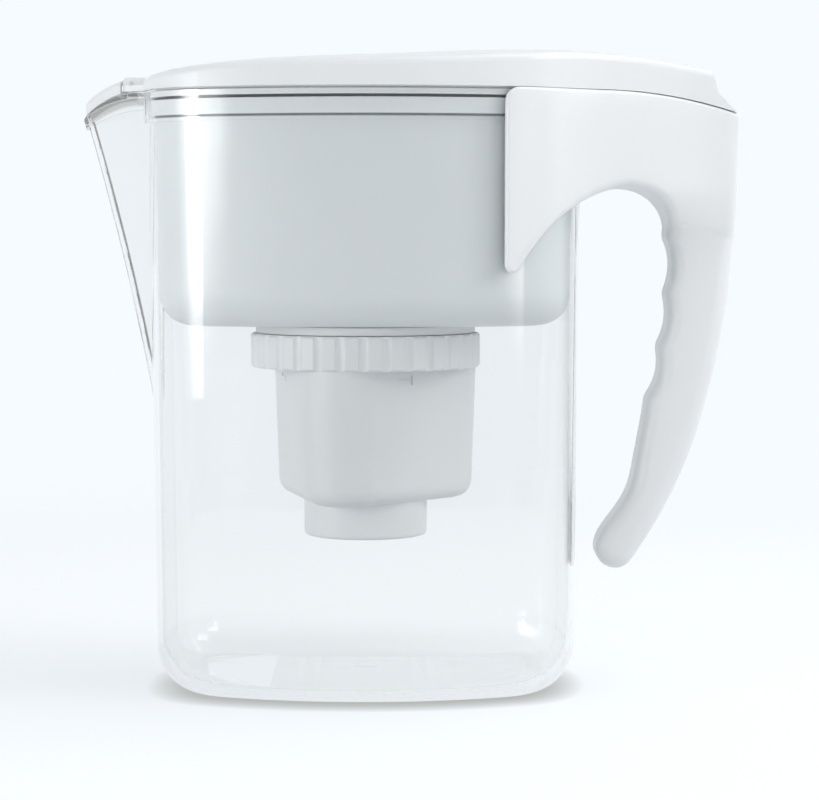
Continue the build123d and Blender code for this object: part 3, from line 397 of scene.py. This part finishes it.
# Reservoir
# A white tub that hangs in the jug's mouth by its flange. It is polypropylene, so it is
# softer in gloss than the lid and lets a little light through.
RESERVOIR_DARK = (0.755, 0.80, 0.808)
RESERVOIR_LIGHT = (0.785, 0.828, 0.836)
RESERVOIR_ROUGHNESS = 0.42
RESERVOIR_GLOW = 0.25
RESERVOIR_GRAIN = 0.00001

reservoir_finish = moulded_finish(
    "white_polypropylene",
    RESERVOIR_DARK,
    RESERVOIR_LIGHT,
    RESERVOIR_ROUGHNESS,
    RESERVOIR_GLOW,
    RESERVOIR_GRAIN,
)
dress(reservoir_finish, "reservoir")


# Cartridge
# The three-cornered housing fits up into the fluted collar, which screws into the
# reservoir's floor by its neck, and a slotted grille is pressed into the neck's top. All
# three are moulded in fine matt white plastic.
CARTRIDGE_DARK = (0.73, 0.755, 0.765)
CARTRIDGE_LIGHT = (0.765, 0.79, 0.798)
CARTRIDGE_ROUGHNESS = 0.48
CARTRIDGE_GLOW = 0.15
CARTRIDGE_GRAIN = 0.000014

cartridge_finish = moulded_finish(
    "matt_polypropylene",
    CARTRIDGE_DARK,
    CARTRIDGE_LIGHT,
    CARTRIDGE_ROUGHNESS,
    CARTRIDGE_GLOW,
    CARTRIDGE_GRAIN,
)
dress(cartridge_finish, "cartridge_collar", "cartridge_housing", "inlet_grille")


# Gasket
# A soft flat ring of white silicone. It lies round the neck and is squeezed between the
# reservoir's floor and the collar as the cartridge is screwed up.
GASKET_DARK = (0.74, 0.76, 0.76)
GASKET_LIGHT = (0.78, 0.8, 0.8)
GASKET_ROUGHNESS = 0.55
GASKET_GLOW = 0.4
GASKET_GRAIN = 0.000008

gasket_finish = moulded_finish(
    "white_silicone", GASKET_DARK, GASKET_LIGHT, GASKET_ROUGHNESS, GASKET_GLOW, GASKET_GRAIN
)
dress(gasket_finish, "gasket")


# Filter stack
# Perforated discs and pressed felts hold the beds in place: amber resin beads below and
# black carbon granules above.
FELT_DARK = (0.74, 0.74, 0.71)
FELT_LIGHT = (0.88, 0.88, 0.86)
FELT_ROUGHNESS = 0.95
FELT_SHEEN, FELT_SHEEN_ROUGHNESS = 0.3, 0.6
FIBRE_SIZE, FIBRE_DETAIL, FIBRE_DEPTH = 0.0012, 8.0, 0.0003
BEAD_SIZE, BEAD_ROUGHNESS = 0.0008, 0.3
BEAD_DARK, BEAD_LIGHT = (0.5, 0.3, 0.1), (0.72, 0.5, 0.24)
CARBON_SIZE, CARBON_ROUGHNESS = 0.0012, 0.6
CARBON_DARK, CARBON_LIGHT = (0.008, 0.008, 0.009), (0.05, 0.05, 0.052)


def felt_finish():
    """Pressed white felt with fine tangled fibres."""
    finish, tree, shader = new_finish("pressed_felt")
    set_values(shader, Roughness=FELT_ROUGHNESS)
    set_values(shader, Sheen_Weight=FELT_SHEEN, Sheen_Roughness=FELT_SHEEN_ROUGHNESS)
    fibres = noise(tree, FIBRE_SIZE, FIBRE_DETAIL)
    tree.links.new(shades(tree, fibres, FELT_DARK, FELT_LIGHT), shader.inputs["Base Color"])
    tree.links.new(relief(tree, fibres, FIBRE_DEPTH), shader.inputs["Normal"])
    return finish


def granule_finish(name, grain, roughness, dark, light):
    """A bed of grains, each with its own shade and a rounded top half as high as it is wide."""
    finish, tree, shader = new_finish(name)
    place = add(tree, "ShaderNodeTexCoord").outputs["Object"]
    cells = add(tree, "ShaderNodeTexVoronoi", Scale=1 / grain)
    tree.links.new(place, cells.inputs["Vector"])
    shade = add(tree, "ShaderNodeSeparateColor")
    feed(tree, shade, cells.outputs["Color"])
    tree.links.new(shades(tree, shade.outputs["Red"], dark, light), shader.inputs["Base Color"])
    round_top = faded(tree, cells.outputs["Distance"], 1.0, 0.0)
    tree.links.new(relief(tree, round_top, grain / 2), shader.inputs["Normal"])
    set_values(shader, Roughness=roughness)
    return finish


resin_finish = granule_finish("resin_beads", BEAD_SIZE, BEAD_ROUGHNESS, BEAD_DARK, BEAD_LIGHT)
carbon_finish = granule_finish(
    "carbon_grains", CARBON_SIZE, CARBON_ROUGHNESS, CARBON_DARK, CARBON_LIGHT
)
dress(cartridge_finish, "outlet_screen", "inlet_screen")
dress(felt_finish(), "outlet_felt", "divider_felt", "inlet_felt")
dress(resin_finish, "resin_bed")
dress(carbon_finish, "carbon_bed")


# Lid
# A domed white moulding whose tail lies on the handle. A plug ring under it drops into the
# jug's mouth, just above the reservoir's flange.
LID_ROUGHNESS = 0.36

lid_finish = moulded_finish(
    "white_lid_abs", WHITE_DARK, WHITE_LIGHT, LID_ROUGHNESS, WHITE_GLOW, WHITE_GRAIN
)
dress(lid_finish, "lid_shell")


# Spout flap
# A small arched cover, moulded in the lid's plastic. It turns on the steel pin between the
# lid's ears and lies just over the spout's lip.
dress(lid_finish, "spout_flap")


# Studio
# A pale floor that runs out into a pale background, under soft light: two wide lamps at the
# left, one at the right, a strip at the front right, one overhead and a white room all round.
PALE = (0.922, 0.965, 1.0, 1)
ROOM = (0.95, 0.972, 1.0, 1)
ROOM_STRENGTH = 0.46
FLOOR_SIZE = 12.0
FLOOR_WHITE = (0.86, 0.875, 0.89, 1)
FLOOR_BOUNCE = (0.8, 0.815, 0.83, 1)
FLOOR_GLOW = 1.2
SHADOW_REACH = (0.3, 0.9)
SHADOW_SHARE = 0.45
CONTACT_REACH = 0.011
CONTACT_SHADE = (0.46, 0.47, 0.46, 1)
LAMP_CENTRE = (0.5, 0.5, 0)
LAMP_FADE = (0.5, 0.0)
AIM = Vector((0.0, 0.0, 0.13))


def seen_directly(tree):
    """1 for what the camera, a mirror image or clear plastic sees, and 0 for light."""
    path = add(tree, "ShaderNodeLightPath")
    seen = path.outputs["Is Camera Ray"]
    for ray in ("Is Glossy Ray", "Is Transmission Ray"):
        seen = worked_out(tree, "MAXIMUM", seen, path.outputs[ray])
    return seen


def pale_room():
    """A world that lights softly and is seen as the pale background."""
    world = bpy.data.worlds.new("pale_room")
    world.use_nodes = True
    tree = world.node_tree
    light = tree.nodes["Background"]
    set_values(light, Color=ROOM, Strength=ROOM_STRENGTH)
    backdrop = add(tree, "ShaderNodeBackground", Color=PALE, Strength=1.0)
    shown = mixed(tree, seen_directly(tree), light.outputs[0], backdrop.outputs[0])
    tree.links.new(shown, tree.nodes["World Output"].inputs["Surface"])
    bpy.context.scene.world = world


def floor_finish():
    """Matt white that takes the shadow, lifted by a glow to the background's white. A painted
    contact shadow darkens it where the jug touches it; it fades into the background and bounces
    light as plain paint."""
    finish, tree, shader = new_finish("pale_floor")
    tree.nodes.remove(shader)
    matt = add(tree, "ShaderNodeBsdfDiffuse", Color=FLOOR_WHITE).outputs[0]
    lifted = add(tree, "ShaderNodeEmission", Color=PALE, Strength=FLOOR_GLOW).outputs[0]
    near = mixed(tree, SHADOW_SHARE, lifted, matt)
    # Painted contact shadow: where ambient occlusion finds the jug close, the camera sees an even
    # dark glow instead of the lit floor.
    open_share = add(tree, "ShaderNodeAmbientOcclusion", Distance=CONTACT_REACH).outputs["AO"]
    under = add(tree, "ShaderNodeEmission", Color=CONTACT_SHADE).outputs[0]
    near_with_painted_shadow = mixed(tree, open_share, under, near)
    by_camera = add(tree, "ShaderNodeLightPath").outputs["Is Camera Ray"]
    near = mixed(tree, by_camera, near, near_with_painted_shadow)
    reach = add(tree, "ShaderNodeVectorMath")
    reach.operation = "LENGTH"
    feed(tree, reach, add(tree, "ShaderNodeTexCoord").outputs["Object"])
    fade = faded(tree, reach.outputs["Value"], *SHADOW_REACH, smooth=True)
    bright = add(tree, "ShaderNodeEmission", Color=PALE).outputs[0]
    shown = mixed(tree, fade, near, bright)
    bounce = add(tree, "ShaderNodeBsdfDiffuse", Color=FLOOR_BOUNCE).outputs[0]
    surface = mixed(tree, seen_directly(tree), bounce, shown)
    tree.links.new(surface, tree.nodes["Material Output"].inputs["Surface"])
    return finish


def pale_floor():
    """A wide square floor at the height of the jug's base."""
    half = FLOOR_SIZE / 2
    corners = [(-half, -half, 0), (half, -half, 0), (half, half, 0), (-half, half, 0)]
    mesh = bpy.data.meshes.new("pale_floor")
    mesh.from_pydata(corners, [], [(0, 1, 2, 3)])
    floor = bpy.data.objects.new("pale_floor", mesh)
    bpy.context.scene.collection.objects.link(floor)
    mesh.materials.append(floor_finish())


def soft_lamp(name, place, width, height, power, fades=True):
    """A rectangular lamp that shines at the jug's middle and may fade out to its edges."""
    data = bpy.data.lights.new(name, "AREA")
    data.shape = "RECTANGLE"
    data.size = width
    data.size_y = height
    data.energy = power
    if fades:
        data.use_nodes = True
        tree = data.node_tree
        off_centre = add(tree, "ShaderNodeVectorMath")
        off_centre.operation = "DISTANCE"
        across = add(tree, "ShaderNodeNewGeometry").outputs["Parametric"]
        feed(tree, off_centre, across, LAMP_CENTRE)
        strength = faded(tree, off_centre.outputs["Value"], *LAMP_FADE, smooth=True)
        tree.links.new(strength, tree.nodes["Emission"].inputs["Strength"])
    lamp = bpy.data.objects.new(name, data)
    lamp.location = place
    lamp.rotation_euler = (AIM - Vector(place)).to_track_quat("-Z", "Y").to_euler()
    bpy.context.scene.collection.objects.link(lamp)


pale_room()
pale_floor()
soft_lamp("left_lamp", (-1.16, -0.80, 0.28), width=0.95, height=0.75, power=19.0)
soft_lamp("left_fill", (-1.20, -0.66, 0.36), width=1.3, height=1.0, power=13.0)
soft_lamp("right_lamp", (1.25, -0.42, 0.78), width=1.2, height=1.2, power=27.0)
soft_lamp("front_strip", (0.98, -0.98, 0.27), width=0.36, height=0.6, power=4.3)
soft_lamp("top_lamp", (0.75, 0.0, 1.3), width=1.1, height=1.1, power=8.0, fades=False)


# Camera
# It stands about a metre in front of the jug, a little to the handle's side, and looks
# slightly down.
CAMERA_PLACE = (0.0176, -0.9661, 0.181)
CAMERA_DOWN = 3.954
CAMERA_LENS = 106.3
SENSOR = 36.0

lens = bpy.data.cameras.new("photo_camera")
lens.sensor_width = SENSOR
lens.lens = CAMERA_LENS
camera = bpy.data.objects.new("photo_camera", lens)
camera.location = CAMERA_PLACE
camera.rotation_euler = (math.radians(90 - CAMERA_DOWN), 0, 0)
bpy.context.scene.collection.objects.link(camera)
bpy.context.scene.camera = camera
bpy.context.scene.view_settings.view_transform = "Standard"
